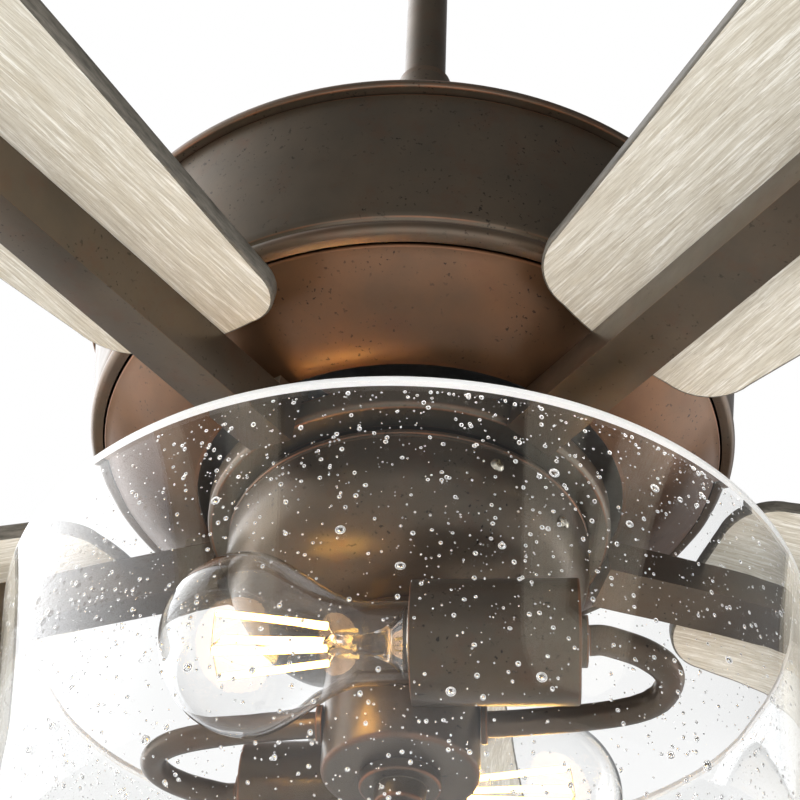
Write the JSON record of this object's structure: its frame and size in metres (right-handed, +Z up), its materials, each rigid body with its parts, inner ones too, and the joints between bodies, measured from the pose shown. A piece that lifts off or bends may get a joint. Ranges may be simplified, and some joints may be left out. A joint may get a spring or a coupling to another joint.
{
  "type": "ceiling fan with light",
  "caption": "Ceiling fan on a downrod with pitched oak blades, a bronze drum motor housing and a light kit of clear bulbs inside an open seeded glass shade.",
  "frame": {"origin": "on the fan's vertical axis, at the bracket's top face, which lies against the ceiling", "axes": "+Z up into the ceiling along the fan's axis, +X to the right and -Y towards a viewer in front"},
  "size_m": [1.2812, 1.231, 0.7529],
  "materials": {
    "bronze": "oil-rubbed bronze, satin",
    "bronze_dark": "dark bronze, satin",
    "bronze_casting": "oil-rubbed bronze on a casting, satin",
    "steel": "zinc-plated steel",
    "cast_metal": "laminated or cast iron",
    "motor_aluminium": "die-cast",
    "copper_wire": "varnished copper wire",
    "oak": "weathered, whitewashed oak",
    "brass": "bright screw base",
    "black_plastic": "moulded",
    "white_ceramic": "ceramic or phenolic lamp holder",
    "rubber": "soft washer",
    "clear_glass": "clear bulb glass",
    "seeded_glass": "clear seeded glass with small bubbles"
  },
  "bodies": {
    "ceiling_mount": {"hanger_bracket": "steel", "bracket_screw_left": "steel", "bracket_screw_right": "steel", "canopy": "bronze", "canopy_screw_left": "bronze_dark", "canopy_screw_right": "bronze_dark"},
    "swivel_liner": {"ball_liner": "black_plastic"},
    "fan_frame": {"hanger_ball": "black_plastic", "ball_pin": "steel", "downrod": "bronze", "motor_coupling": "cast_metal", "clevis_pin": "steel", "cotter_pin": "steel", "coupling_set_screw": "steel", "coupling_cover": "bronze", "upper_housing": "bronze", "motor_drum": "bronze", "lower_pan": "bronze", "motor_shaft": "steel", "stator_core": "cast_metal", "winding_upper": "copper_wire", "winding_lower": "copper_wire", "switch_housing": "bronze", "switch_plate": "steel", "capacitor": "black_plastic", "switch_body": "black_plastic", "light_column": "bronze", "column_cap": "bronze", "bent_tube_1": "bronze", "bent_tube_2": "bronze", "socket_cover_1": "bronze", "socket_cover_2": "bronze", "lamp_holder_1": "white_ceramic", "lamp_holder_2": "white_ceramic", "bulb_base_1": "brass", "bulb_base_2": "brass", "bulb_glass_1": "clear_glass", "bulb_glass_2": "clear_glass", "glass_shade": "seeded_glass", "shade_washer_upper": "rubber", "shade_washer_lower": "rubber", "centre_rod": "steel", "finial": "bronze"},
    "rotor": {"rotor_ring": "motor_aluminium", "motor_cap_upper": "motor_aluminium", "motor_cap_lower": "motor_aluminium", "bearing_upper": "steel", "bearing_lower": "steel", "hub": "bronze_casting", "blade_arm_1": "bronze_casting", "blade_arm_2": "bronze_casting", "blade_arm_3": "bronze_casting", "blade_arm_4": "bronze_casting", "blade_arm_5": "bronze_casting", "blade_1": "oak", "blade_2": "oak", "blade_3": "oak", "blade_4": "oak", "blade_5": "oak"},
    "switch_slider": {"reversing_switch": "black_plastic"}
  },
  "joints": [
    {"name": "hanger_swing_x", "type": "hinge", "parent": "ceiling_mount", "child": "swivel_liner", "pos_m": [0, 0, -0.038], "axis": [1, 0, 0], "range_deg": [-12, 12]},
    {"name": "hanger_swing_y", "type": "hinge", "parent": "swivel_liner", "child": "fan_frame", "pos_m": [0, 0, -0.038], "axis": [0, 1, 0], "range_deg": [-12, 12]},
    {"name": "rotor_spin", "type": "hinge", "parent": "fan_frame", "child": "rotor", "pos_m": [0, 0, -0.458], "axis": [0, 0, 1], "continuous": true},
    {"name": "reverse_slide", "type": "slide", "parent": "fan_frame", "child": "switch_slider", "axis": [1, 0, 0], "range_m": [-0.003, 0.003]}
  ]
}
